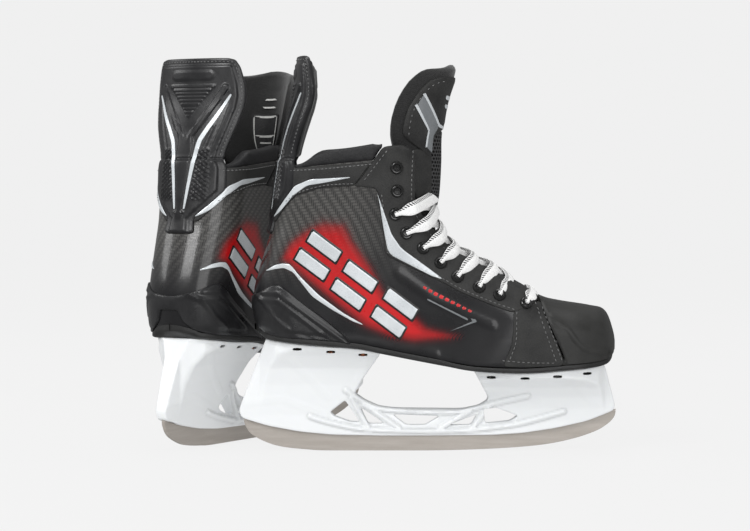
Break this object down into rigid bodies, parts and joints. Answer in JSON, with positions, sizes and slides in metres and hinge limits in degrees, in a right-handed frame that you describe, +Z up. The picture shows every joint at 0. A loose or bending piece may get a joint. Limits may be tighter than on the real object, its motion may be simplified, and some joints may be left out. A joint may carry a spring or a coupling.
{
  "type": "hockey skates",
  "caption": "Pair of ice hockey skates: laced composite boots with tendon guards and tongues, on white blade holders with steel runners.",
  "frame": {"origin": "centre of the pair's footprint on the ice, both runners touching z = 0", "axes": "+Z up, +X from the right skate's heel to its toe, +Y towards the right skate's inner side; the left skate stands behind, turned 59 degrees about Z"},
  "size_m": [0.3923, 0.3006, 0.3284],
  "materials": {
    "composite_shell": "clear-coated composite with a dark twill weave and a red fade",
    "moulded_sole": "moulded dark grey",
    "moulded_cap": "moulded dark grey, slightly satin",
    "synthetic_leather": "fine-grained black synthetic leather, stitched edges",
    "eyelet_metal": "black enamelled metal",
    "collar_leather": "soft black padded collar",
    "lining": "black brushed fabric over foam",
    "guard_plastic": "flexible moulded black plastic",
    "felt": "thick black felt",
    "holder_plastic": "white moulded nylon",
    "runner_steel": "ground stainless steel",
    "lace_cotton": "flat white braided lace with dark flecks",
    "rivet_steel": "plain steel rivets",
    "rivet_copper": "copper rivets",
    "silver_film": "silver printed film",
    "red_print": "red fade under clear coat"
  },
  "bodies": {
    "root": {"right_quarter_shell": "composite_shell", "right_outsole": "moulded_sole", "right_toe_cap": "moulded_cap", "right_toe_vamp_outer": "synthetic_leather", "right_toe_vamp_inner": "synthetic_leather", "right_heel_counter": "moulded_cap", "right_eyestay_outer": "synthetic_leather", "right_eyestay_inner": "synthetic_leather", "right_eyelets_outer": "eyelet_metal", "right_eyelets_inner": "eyelet_metal", "right_collar_band_outer": "synthetic_leather", "right_collar_band_inner": "synthetic_leather", "right_collar_foam": "collar_leather", "right_liner": "lining", "right_footbed": "lining", "right_tendon_guard_base": "guard_plastic", "right_tongue_base": "felt", "right_holder": "holder_plastic", "right_runner": "runner_steel", "right_runner_pin_rear": "eyelet_metal", "right_runner_pin_front": "eyelet_metal", "right_lace": "lace_cotton", "right_rivets_front": "rivet_steel", "right_rivets_rear": "rivet_copper", "left_quarter_shell": "composite_shell", "left_outsole": "moulded_sole", "left_toe_cap": "moulded_cap", "left_toe_vamp_outer": "synthetic_leather", "left_toe_vamp_inner": "synthetic_leather", "left_heel_counter": "moulded_cap", "left_eyestay_outer": "synthetic_leather", "left_eyestay_inner": "synthetic_leather", "left_eyelets_outer": "eyelet_metal", "left_eyelets_inner": "eyelet_metal", "left_collar_band_outer": "synthetic_leather", "left_collar_band_inner": "synthetic_leather", "left_collar_foam": "collar_leather", "left_liner": "lining", "left_footbed": "lining", "left_tendon_guard_base": "guard_plastic", "left_tongue_base": "felt", "left_holder": "holder_plastic", "left_runner": "runner_steel", "left_runner_pin_rear": "eyelet_metal", "left_runner_pin_front": "eyelet_metal", "left_lace": "lace_cotton", "left_rivets_front": "rivet_steel", "left_rivets_rear": "rivet_copper"},
    "right_tendon_guard": {"right_tendon_guard": "guard_plastic", "right_tendon_guard_pad": "lining"},
    "right_tongue": {"right_tongue_top": "felt", "right_tongue_plate": "synthetic_leather"},
    "left_tendon_guard": {"left_tendon_guard": "guard_plastic", "left_tendon_guard_pad": "lining"},
    "left_tongue": {"left_tongue_top": "felt", "left_tongue_plate": "synthetic_leather"}
  },
  "joints": [
    {"name": "right_tongue_fold", "type": "hinge", "parent": "root", "child": "right_tongue", "pos_m": [0.05196, -0.1035, 0.248], "axis": [0, 1, 0], "range_deg": [0, 50], "stiffness_Nm_per_rad": 0.25},
    {"name": "right_tendon_guard_flex", "type": "hinge", "parent": "root", "child": "right_tendon_guard", "pos_m": [-0.08404, -0.1035, 0.241], "axis": [0, -1, 0], "range_deg": [0, 22], "stiffness_Nm_per_rad": 4},
    {"name": "left_tongue_fold", "type": "hinge", "parent": "root", "child": "left_tongue", "pos_m": [-0.09492, 0.02136, 0.248], "axis": [-0.8572, 0.515, 0], "range_deg": [0, 50], "stiffness_Nm_per_rad": 0.25},
    {"name": "left_tendon_guard_flex", "type": "hinge", "parent": "root", "child": "left_tendon_guard", "pos_m": [-0.16496, -0.09521, 0.241], "axis": [0.8572, -0.515, 0], "range_deg": [0, 22], "stiffness_Nm_per_rad": 4}
  ]
}
